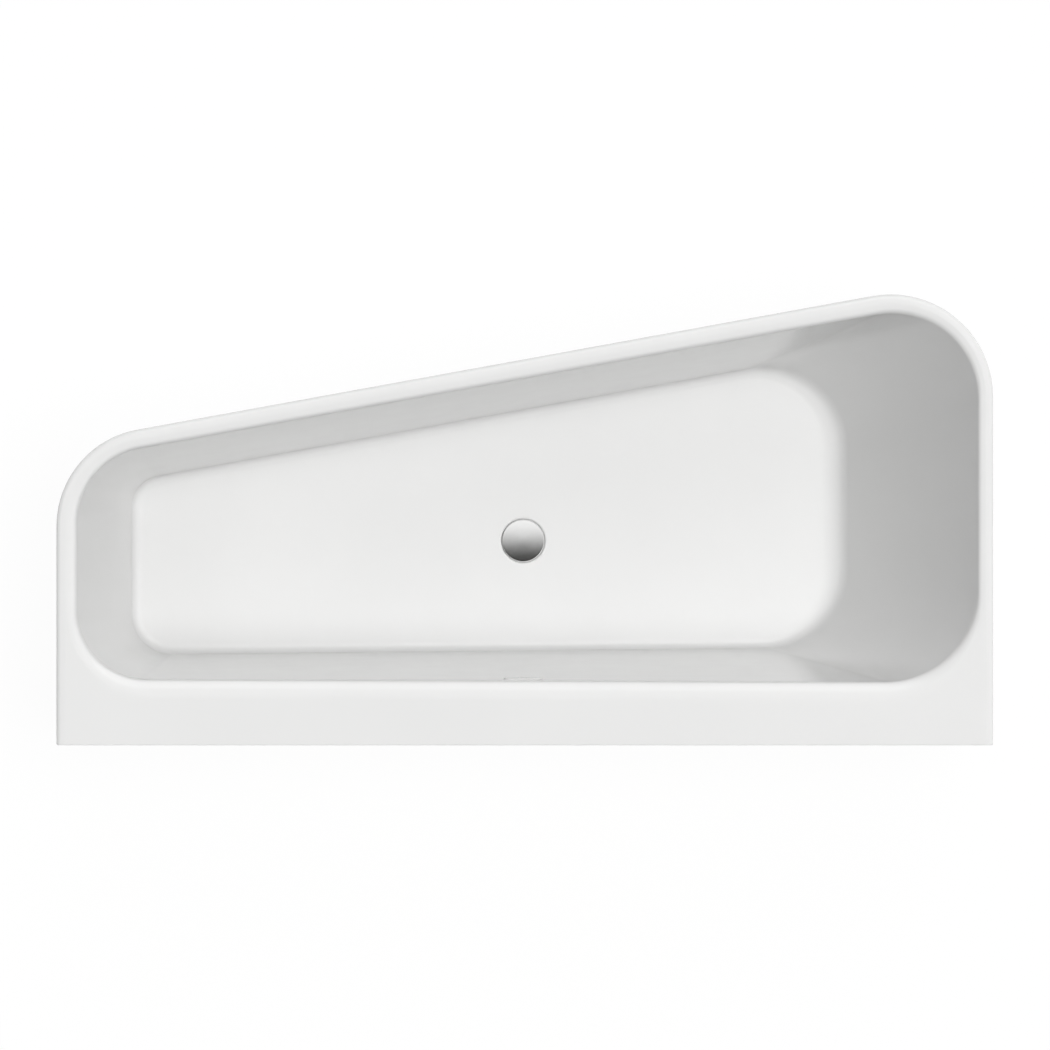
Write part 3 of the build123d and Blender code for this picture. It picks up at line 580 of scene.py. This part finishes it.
def startPiece(name):              # one vertex at the origin, in edit mode
    bpy.ops.object.select_all(action="DESELECT")
    bpy.ops.mesh.primitive_plane_add(size=0.01)
    piece = bpy.context.object
    piece.name = name
    bpy.ops.object.mode_set(mode="EDIT")
    bpy.ops.mesh.merge(type="CENTER")
    return piece


def pick(piece):
    bpy.ops.object.select_all(action="DESELECT")
    piece.select_set(True)
    bpy.context.view_layer.objects.active = piece


def drawOn(move):                  # an edge from the selected vertex
    bpy.ops.mesh.extrude_vertices_move(TRANSFORM_OT_translate={"value": move})


def closeMesh():                   # back to object mode with every face turned outwards
    bpy.ops.mesh.select_all(action="SELECT")
    bpy.ops.mesh.normals_make_consistent(inside=False)
    bpy.ops.object.mode_set(mode="OBJECT")


def selectRange(piece, first, count):
    bpy.ops.mesh.select_all(action="DESELECT")
    mesh = editMesh(piece)
    for vert in mesh.verts[first:first + count]:
        vert.select = True
    mesh.select_flush(True)
    bmesh.update_edit_mesh(piece.data)


def selectWhere(piece, test):
    bpy.ops.mesh.select_all(action="DESELECT")
    mesh = editMesh(piece)
    for vert in mesh.verts:
        vert.select = test(vert.co)
    mesh.select_flush(True)
    bmesh.update_edit_mesh(piece.data)


def addOutlineRing(piece, ring, number):
    arcs, z = ring
    up = Vector((0.0, 0.0, z))
    start = arcs[0][0] + up
    selectRange(piece, 0, 1)
    move = start - editMesh(piece).verts[0].co
    if number == 0:
        bpy.ops.transform.translate(value=move)
    else:
        bpy.ops.mesh.duplicate_move(TRANSFORM_OT_translate={"value": move})
    for i, (_, centre, angle, end) in enumerate(arcs):
        bpy.ops.mesh.spin(steps=bath["cornerSteps"], angle=-angle, center=centre + up, axis=(0, 0, 1))
        if i < len(arcs) - 1:
            drawOn(arcs[i + 1][0] - end)


def closeRing(piece, number):
    bpy.ops.mesh.select_all(action="DESELECT")
    mesh = editMesh(piece)
    mesh.verts[number * ringCount].select = True
    mesh.verts[(number + 1) * ringCount - 1].select = True
    bpy.ops.mesh.edge_face_add()


def bridgeRings(piece, first, second):
    bpy.ops.mesh.select_all(action="DESELECT")
    mesh = editMesh(piece)
    for number in (first, second):
        for vert in mesh.verts[number * ringCount:(number + 1) * ringCount]:
            vert.select = True
    mesh.select_flush(True)
    bpy.ops.mesh.bridge_edge_loops()


def skinRings(name, rings):
    # the rings are bridged as a tall stack, where none lies in another's plane, and then let down
    piece = startPiece(name)
    for number, ring in enumerate(rings):
        if ring[0] == "circle":    # then its radius and its place
            place = Vector(ring[2]) + Vector((0.0, 0.0, number * stackStep))
            bpy.ops.mesh.select_all(action="DESELECT")
            bpy.ops.mesh.primitive_circle_add(vertices=ringCount, radius=ring[1], location=place)
        else:
            addOutlineRing(piece, (ring[0], ring[1] + number * stackStep), number)
    for number, ring in enumerate(rings):
        if ring[0] != "circle":
            closeRing(piece, number)
    for number in range(len(rings)):
        bridgeRings(piece, number, (number + 1) % len(rings))
    for number in range(1, len(rings)):
        selectRange(piece, number * ringCount, ringCount)
        bpy.ops.transform.translate(value=(0.0, 0.0, -number * stackStep))
    closeMesh()
    return piece


def smoothFinish(piece, angle=30.0):
    pick(piece)
    bpy.ops.object.shade_smooth_by_angle(angle=math.radians(angle))
    bpy.ops.object.modifier_add(type="WEIGHTED_NORMAL")
    piece.modifiers[-1].keep_sharp = True
    bpy.ops.object.modifier_apply(modifier=piece.modifiers[-1].name)


def cutAway(piece, cutter):
    pick(piece)
    bpy.ops.object.modifier_add(type="BOOLEAN")
    piece.modifiers[-1].operation = "DIFFERENCE"
    piece.modifiers[-1].object = cutter
    bpy.ops.object.modifier_apply(modifier=piece.modifiers[-1].name)
    bpy.data.objects.remove(cutter)


def spunPiece(name, centre, profile, steps):
    # profile: radius and height from the axis round to the axis again
    piece = startPiece(name)
    points = [Vector((centre[0] + radius, centre[1], z)) for radius, z in profile]
    bpy.ops.transform.translate(value=points[0])
    for i in range(1, len(points)):
        drawOn(points[i] - points[i - 1])
    bpy.ops.mesh.select_all(action="SELECT")
    bpy.ops.mesh.spin(steps=steps, angle=-2 * math.pi, center=(*centre, 0.0), axis=(0, 0, 1))
    bpy.ops.mesh.select_all(action="SELECT")
    bpy.ops.mesh.remove_doubles(threshold=sameSpot)
    closeMesh()
    return piece


def finishPiece(piece, body, slot, node, angle=30.0):
    pick(piece)
    bpy.ops.object.transform_apply(location=True, rotation=True, scale=True)
    smoothFinish(piece, angle)
    piece.data.materials.clear()
    piece.data.materials.append(materials[slot])
    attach(piece, body)
    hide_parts(node)


# the bath itself

waste = {
    "centre": (0.003, 0.037),
    "hole": 0.026,
    "holeEdge": 0.0003,
    "boss": 0.047,
    # radius, and height against the basin's floor
    "dish": ((0.0430, 0.0), (0.0420, -0.0001), (0.0410, -0.0004), (0.0401, -0.0010), (0.0394, -0.0018),
             (0.0389, -0.0028), (0.0386, -0.0040), (0.0380, -0.0050)),
}
overflow = {
    "drop": 0.040,                 # from the rim down to the slot's middle
    "slot": (0.056, 0.012),
    "lean": 5.85,                  # the wall's slope where the slot is, in degrees
    "sides": 48,
    "cutDepth": 0.04,
}


def overflowCutter():
    width, height = overflow["slot"]
    z = rimLevel - overflow["drop"]
    x = waste["centre"][0]
    share = (x + halfLength) / (2 * halfLength)
    shares = (("backWide", 1 - share), ("backNarrow", share))
    inset = sum(straightInset(wall, z) * part for wall, part in shares)
    turn = (-math.radians(90.0 + overflow["lean"]), 0.0, 0.0)
    bpy.ops.object.select_all(action="DESELECT")
    bpy.ops.mesh.primitive_cylinder_add(
        vertices=overflow["sides"], radius=height / 2, depth=overflow["cutDepth"],
        location=(x, wallSideY - inset, z), rotation=turn)
    cutter = bpy.context.object
    bpy.ops.object.mode_set(mode="EDIT")
    for side in (-1, 1):
        selectWhere(cutter, lambda place: place.x * side > sameSpot)
        bpy.ops.transform.translate(value=(side * (width - height) / 2, 0.0, 0.0))
    bpy.ops.object.mode_set(mode="OBJECT")
    return cutter


def rimCrown():                    # the rim's slightly convex top; the wide deck at the wall side stays flat
    drop = bath["crownDrop"]
    tilt = math.radians(bath["crownTilt"])
    outer = bath["outerRound"] * (1 - math.sin(tilt))
    rings = []
    top = {wall: wallInset(wall, rimLevel) for wall in walls}
    for share, dropShare, back in bath["crownSteps"]:
        z = rimLevel - drop * dropShare
        insets = {}
        for wall in ("wide", "front", "narrow"):
            inner = top[wall] + walls[wall][3] * math.sin(tilt)
            insets[wall] = outer + (inner - outer) * share
        for wall in ("backWide", "backNarrow"):
            width, depth = walls[wall][3:]
            out = width * math.sqrt(1 - (1 - (rimLevel - z) / depth) ** 2)
            insets[wall] = top[wall] + out if back is None else back
        if back is not None:
            radii = list(bath["outerRadii"])
            radii[1] -= insets["wide"]
            radii[2] -= insets["narrow"]
        else:
            radii = []
            for i, sides in enumerate(cornerSides):
                extra = sum(insets[side] - walls[side][0] for side in sides) / 2
                radii.append(bath["rimRadii"][i] - extra)
        rings.append((cornerArcs(cornerPoints(insets), radii), z))
    return rings


def undersideCurve():              # angles round the backrest's fillet, seen from below
    sweep = 90.0 - walls["wide"][1]
    steps = bath["undersideSteps"]
    return [math.radians(sweep * step / steps) for step in range(steps + 1)]


def bathShell():
    thickness = bath["thickness"]
    lipBottom = rimLevel - bath["lipHeight"]
    edge = bath["edgeRound"]
    rings = [outerRing(lipBottom, edge, edge), outerRing(lipBottom + edge, 0.0, 0.0)]
    outerRound = bath["outerRound"]
    roundCentre = rimLevel - bath["crownDrop"] - outerRound * math.cos(math.radians(bath["crownTilt"]))
    for degrees in bath["outerAngles"]:
        angle = math.radians(degrees)
        inset = outerRound * (1 - math.cos(angle))
        rings.append(outerRing(roundCentre + outerRound * math.sin(angle), inset, 0.0))
    rings += rimCrown()
    flare = walls["backWide"][4]
    for angle in bath["flareAngles"]:
        rings.append(basinRing(rimLevel - flare + flare * math.sin(math.radians(angle))))
    for z in reversed(bath["wallLevels"]):
        rings.append(basinRing(z))
    fillet = walls["wide"][2]      # the largest one: the rings down its curve serve the others as well
    sweep = 90.0 - walls["wide"][1]
    floor = bath["floorLevel"]
    for step in range(bath["filletSteps"], -1, -1):
        angle = math.radians(sweep * step / bath["filletSteps"])
        rings.append(basinRing(floor + fillet * (1 - math.cos(angle))))
    rings.append(basinRing(floor, inward=bath["floorMargin"]))
    x, y = waste["centre"]
    for radius, rise in waste["dish"]:
        rings.append(("circle", radius, (x, y, floor + rise)))
    dishLevel = floor + waste["dish"][-1][1]
    hole, holeEdge, boss = waste["hole"], waste["holeEdge"], waste["boss"]
    for radius, z in ((hole + holeEdge, dishLevel), (hole, dishLevel - holeEdge),
                      (hole, dishLevel - thickness), (boss, dishLevel - thickness),
                      (boss, floor - thickness)):
        rings.append(("circle", radius, (x, y, z)))
    for angle in undersideCurve():
        rings.append(basinRing(floor + fillet - (fillet + thickness) * math.cos(angle), thickness))
    for z in bath["wallLevels"][1:]:
        rings.append(basinRing(z, thickness))
    for angle in bath["undersideAngles"]:
        level = rimLevel - flare + (flare - thickness) * math.sin(math.radians(angle))
        rings.append(basinRing(level, thickness))
    rings.append(outerRing(rimLevel - thickness, thickness, thickness))
    rings.append(outerRing(lipBottom + edge, thickness, thickness))
    rings.append(outerRing(lipBottom, thickness - edge, thickness - edge))
    return skinRings("bath_shell", rings)


shell = bathShell()
cutAway(shell, overflowCutter())
finishPiece(shell, "bath", "white_acrylic", "tub_shell")
print("bath shell:", len(shell.data.polygons), "faces")


# apron: a bent sheet under the lip, with a tongue behind it

apron = {
    "inset": 0.003,
    "thickness": 0.005,
    "floorGap": 0.010,
    "lipGap": 0.0006,
    "tongueInset": 0.0056,
    "tongueThickness": 0.004,
    "tongueReach": 0.025,          # above and below the joint under the lip
    "returnWidth": 0.020,
    "openingDepth": 0.1,
    "edgeRound": 0.0008,
}


def apronPanel():
    edge = apron["edgeRound"]
    bottom = apron["floorGap"]
    top = rimLevel - bath["lipHeight"] - apron["lipGap"]
    outer = apron["inset"]
    inner = outer + apron["thickness"]
    tongue = apron["tongueInset"]
    tongueInner = tongue + apron["tongueThickness"]
    tongueTop = rimLevel - bath["lipHeight"] + apron["tongueReach"]
    tongueBottom = top - apron["tongueReach"]
    profile = (                    # height, inset, inset at the wall side
        (bottom, outer + edge, edge), (bottom + edge, outer, 0.0),
        (top - edge, outer, 0.0), (top, outer + edge, edge),
        (top, tongue, tongue), (tongueTop - edge, tongue, tongue), (tongueTop, tongue + edge, tongue + edge),
        (tongueTop, tongueInner - edge, tongueInner - edge), (tongueTop - edge, tongueInner, tongueInner),
        (tongueBottom, tongueInner, tongueInner), (tongueBottom, inner, inner - outer),
        (bottom + edge, inner, inner - outer), (bottom, inner - edge, inner - outer - edge),
    )
    panel = skinRings("apron_panel", [outerRing(*step) for step in profile])
    bpy.ops.object.select_all(action="DESELECT")
    bpy.ops.mesh.primitive_cube_add(size=1.0, location=(0.0, wallSideY, rimLevel / 2))
    opening = bpy.context.object
    width = 2 * (halfLength - outer - apron["returnWidth"])
    bpy.ops.transform.resize(value=(width, apron["openingDepth"], 1.0))
    cutAway(panel, opening)
    return panel


panel = apronPanel()
finishPiece(panel, "bath", "white_acrylic", "apron")
print("apron:", len(panel.data.polygons), "faces")


# glass fibre laid on the shell's underside

backing = {
    "bond": 0.0003,
    "thickness": 0.003,
    "levels": (0.24, 0.32, 0.40, 0.48, 0.5235),
}


def fibreSkin():
    x, y = waste["centre"]
    inner = bath["thickness"] + backing["bond"]
    outer = inner + backing["thickness"]
    floor = bath["floorLevel"]
    fillet = walls["wide"][2]
    hole = waste["boss"] + backing["bond"]
    curve = undersideCurve()
    rings = [basinRing(floor + fillet - (fillet + inner) * math.cos(angle), inner) for angle in curve]
    for z in backing["levels"]:
        rings.append(basinRing(z, inner))
    for z in reversed(backing["levels"]):
        rings.append(basinRing(z, outer))
    for angle in reversed(curve):
        rings.append(basinRing(floor + fillet - (fillet + outer) * math.cos(angle), outer))
    rings.append(("circle", hole, (x, y, floor - outer)))
    rings.append(("circle", hole, (x, y, floor - inner)))
    return skinRings("fibre_skin", rings)


skin = fibreSkin()
finishPiece(skin, "bath", "glass_fibre", "glass_fibre_backing")
print("glass fibre skin:", len(skin.data.polygons), "faces")


# chrome cap over the waste

cap = {
    "radius": 0.0367,
    "bottom": 0.141,
    "edgeHeight": 0.0024,
    "dome": 0.0016,
    "domeShares": (0.0, 0.2, 0.4, 0.6, 0.75, 0.88, 0.96),
    "edgeRound": 0.0004,
    "skirtDrop": 0.0031,           # the skirt hangs round the waste's flange
    "skirtWall": 0.0009,
    "steps": 96,
}


def wasteCap():
    x, y = waste["centre"]
    radius = cap["radius"]
    edge = cap["edgeRound"]
    shoulder = cap["bottom"] + cap["edgeHeight"]
    dome = [(radius * share, shoulder + cap["dome"] * (1 - share ** 2)) for share in cap["domeShares"]]
    skirt = cap["bottom"] - cap["skirtDrop"]
    inside = radius - cap["skirtWall"]
    # one point between its two ends rounds each edge
    profile = dome + [
        (radius - edge * 0.4, shoulder - edge * 0.1), (radius, shoulder - edge), (radius, skirt + edge),
        (radius - edge * 0.3, skirt + edge * 0.3), (radius - edge, skirt), (inside, skirt),
        (inside, cap["bottom"]), (0.0, cap["bottom"]),
    ]
    return spunPiece("waste_cap", (x, y), profile, cap["steps"])


capPiece = wasteCap()
finishPiece(capPiece, "plug", "chrome", "plug_cap")
print("waste cap:", len(capPiece.data.polygons), "faces")


# ribbed hose from the overflow down to the waste

hose = {
    "radius": 0.0125,
    "rootRadius": 0.0113,
    "pitch": 0.005,
    "ribProfile": ((0.30, 0.0), (0.15, 1.0), (0.30, 1.0), (0.25, 0.0)),    # share of the pitch, rib or not
    "sides": 28,
    "bend": 0.070,
    "bendSteps": 24,
    "smoothAngle": 60.0,
    "mergeDistance": 0.0001,
}


def ribbedHose():
    low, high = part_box("overflow_hose")
    x = (low[0] + high[0]) / 2
    drop = high[1] - hose["radius"]
    run = low[2] + hose["radius"]
    bend = hose["bend"]
    path = startPiece("hose_path")
    bpy.ops.transform.translate(value=(x, drop, high[2]))
    drawOn((0.0, 0.0, run + bend - high[2]))
    centre = (x, drop - bend, run + bend)
    bpy.ops.mesh.spin(steps=hose["bendSteps"], angle=math.pi / 2, center=centre, axis=(1, 0, 0))
    drawOn((0.0, low[1] - drop + bend, 0.0))
    bpy.ops.object.mode_set(mode="OBJECT")
    length = sum((path.data.vertices[edge.vertices[0]].co - path.data.vertices[edge.vertices[1]].co).length
                 for edge in path.data.edges)
    bpy.ops.object.convert(target="CURVE")
    ribs = round(length / hose["pitch"])
    pitch = length / ribs
    bpy.ops.object.select_all(action="DESELECT")
    bpy.ops.mesh.primitive_circle_add(vertices=hose["sides"], radius=hose["rootRadius"])
    tube = bpy.context.object
    tube.name = "ribbed_hose"
    bpy.ops.object.mode_set(mode="EDIT")
    grow = hose["radius"] / hose["rootRadius"]
    raised = 0.0
    for rise, onRib in hose["ribProfile"]:
        bpy.ops.mesh.extrude_region_move(TRANSFORM_OT_translate={"value": (0.0, 0.0, pitch * rise)})
        size = grow ** (onRib - raised)
        bpy.ops.transform.resize(value=(size, size, 1.0))
        raised = onRib
    bpy.ops.object.mode_set(mode="OBJECT")
    bpy.ops.object.modifier_add(type="ARRAY")
    array = tube.modifiers[-1]
    array.count = ribs
    array.use_relative_offset = False
    array.use_constant_offset = True
    array.constant_offset_displace = (0.0, 0.0, pitch)
    array.use_merge_vertices = True
    array.merge_threshold = hose["mergeDistance"]
    bpy.ops.object.modifier_apply(modifier=array.name)
    bpy.ops.object.modifier_add(type="CURVE")
    follow = tube.modifiers[-1]
    follow.object = path
    follow.deform_axis = "POS_Z"
    bpy.ops.object.modifier_apply(modifier=follow.name)
    bpy.data.objects.remove(path)
    bpy.ops.object.mode_set(mode="EDIT")
    bpy.ops.mesh.select_all(action="DESELECT")
    bpy.ops.mesh.select_mode(type="EDGE")
    bpy.ops.mesh.select_non_manifold()
    bpy.ops.mesh.fill_holes(sides=0)
    bpy.ops.mesh.select_mode(type="VERT")
    closeMesh()
    return tube


hosePiece = ribbedHose()
finishPiece(hosePiece, "bath", "grey_hose", "overflow_hose", hose["smoothAngle"])
print("hose:", len(hosePiece.data.polygons), "faces")


# feet: a threaded stud and a pad are modelled once and copied to every foot

foot = {
    "threadRoot": 0.0044,
    "pitch": 0.0015,
    "threadSides": 16,
    "spareTurns": 2,               # beyond each end, cut off level
    "threadProfile": ((1.0, 0.36), (0.0, 0.14), (-1.0, 0.36), (0.0, 0.14)),    # shares of depth and pitch
    # radius and height, from the sole's middle round to the bottom of the stud's socket
    "padProfile": ((0.0, 0.0), (0.0236, 0.0), (0.0250, 0.0014), (0.0250, 0.0044), (0.0238, 0.0058),
                   (0.0145, 0.0072), (0.0126, 0.0088), (0.0120, 0.0105), (0.0120, 0.0190), (0.0110, 0.0200),
                   (0.0052, 0.0200), (0.0052, 0.0080), (0.0, 0.0080)),
    "padSteps": 40,
}
footNames = [f"{place}_{side}" for place in ("wide", "middle", "narrow") for side in ("front", "back")]


def threadedStud(low, high):
    pitch = foot["pitch"]
    root = foot["threadRoot"]
    crest = (high[0] - low[0]) / 2
    stud = startPiece("threaded_stud")
    bpy.ops.transform.translate(value=(root, 0.0, low[2] - foot["spareTurns"] * pitch))
    for out, rise in foot["threadProfile"]:
        drawOn((out * (crest - root), 0.0, rise * pitch))
    bpy.ops.object.mode_set(mode="OBJECT")
    bpy.ops.object.modifier_add(type="SCREW")
    screw = stud.modifiers[-1]
    screw.screw_offset = pitch
    screw.iterations = math.ceil((high[2] - low[2]) / pitch) + 2 * foot["spareTurns"]
    screw.steps = foot["threadSides"]
    screw.render_steps = foot["threadSides"]
    screw.use_merge_vertices = True
    screw.merge_threshold = sameSpot
    bpy.ops.object.modifier_apply(modifier=screw.name)
    bpy.ops.object.mode_set(mode="EDIT")
    bpy.ops.mesh.select_all(action="SELECT")
    bpy.ops.mesh.remove_doubles(threshold=sameSpot)
    for level, keepAbove in ((low[2], True), (high[2], False)):
        bpy.ops.mesh.select_all(action="SELECT")
        bpy.ops.mesh.bisect(plane_co=(0.0, 0.0, level), plane_no=(0.0, 0.0, 1.0), use_fill=True,
                            clear_inner=keepAbove, clear_outer=not keepAbove)
    closeMesh()
    return stud


def copyTo(piece, name, x, y):
    pick(piece)
    bpy.ops.object.duplicate()
    twin = bpy.context.object
    twin.name = name
    twin.location = (x, y, 0.0)
    return twin


stud = threadedStud(*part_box("foot_stud_wide_front"))
pad = spunPiece("foot_pad", (0.0, 0.0), foot["padProfile"], foot["padSteps"])
for name in footNames:
    low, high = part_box(f"foot_stud_{name}")
    x = (low[0] + high[0]) / 2
    y = (low[1] + high[1]) / 2
    finishPiece(copyTo(stud, f"stud_{name}", x, y), f"foot_{name}", "galvanised_steel", f"foot_stud_{name}")
    finishPiece(copyTo(pad, f"pad_{name}", x, y), f"foot_{name}", "black_plastic", f"foot_pad_{name}")
for original in (stud, pad):
    bpy.data.objects.remove(original)
print("feet:", len(footNames))


# parts whose edges are eased: each is a copy of the plain part with its edges rounded

easing = {
    "flatWithin": 0.5,             # faces this close to one plane, in degrees, are joined first
    "sharperThan": 40.0,
    "segments": 2,
}
eased = {                          # width of the rounding
    "base_board": 0.0008, "back_batten": 0.0015,
    "apron_rib_wide": 0.0012, "apron_rib_middle": 0.0012, "apron_rib_narrow": 0.0012,
    "cross_rail_wide": 0.0009, "cross_rail_middle": 0.0009, "cross_rail_narrow": 0.0009,
    "apron_bracket_wide": 0.0006, "apron_bracket_middle": 0.0006, "apron_bracket_narrow": 0.0006,
    "wall_anchor_wide": 0.0007, "wall_anchor_middle": 0.0007, "wall_anchor_narrow": 0.0007,
    "foot_weld_nuts": 0.0006, "foot_lock_nuts": 0.0006, "waste_backnut": 0.0009,
    "overflow_body": 0.0008, "overflow_banjo": 0.0008, "trap_bowl": 0.0010, "trap_union_nut": 0.0009,
    "cleaning_cap": 0.0008, "outlet_nut": 0.0009, "overflow_upper_nut": 0.0008, "overflow_lower_nut": 0.0008,
}


def easedCopy(name, width):
    piece = bpy.data.objects.new(name + "_eased", nodes[name].data.copy())
    scene.collection.objects.link(piece)
    pick(piece)
    bpy.ops.object.mode_set(mode="EDIT")
    bpy.ops.mesh.select_all(action="SELECT")
    bpy.ops.mesh.remove_doubles(threshold=sameSpot)
    bpy.ops.mesh.dissolve_limited(angle_limit=math.radians(easing["flatWithin"]))
    bpy.ops.object.mode_set(mode="OBJECT")
    bpy.ops.object.modifier_add(type="BEVEL")
    bevel = piece.modifiers[-1]
    bevel.width = width
    bevel.segments = easing["segments"]
    bevel.limit_method = "ANGLE"
    bevel.angle_limit = math.radians(easing["sharperThan"])
    bpy.ops.object.modifier_apply(modifier=bevel.name)
    return piece


slotOf = {entry["node"]: entry["material_slot"] for entry in frame["record"]["subparts"]}
bodyOf = {node: body for body, members in frame["record"]["behaviour"]["bodies"].items() for node in members}
for name, width in eased.items():
    piece = easedCopy(name, width)
    finishPiece(piece, bodyOf[name], slotOf[name], name)
    if name.startswith("apron_rib"):
        piece.data.materials[0] = uprightTimber
print("eased parts:", len(eased))
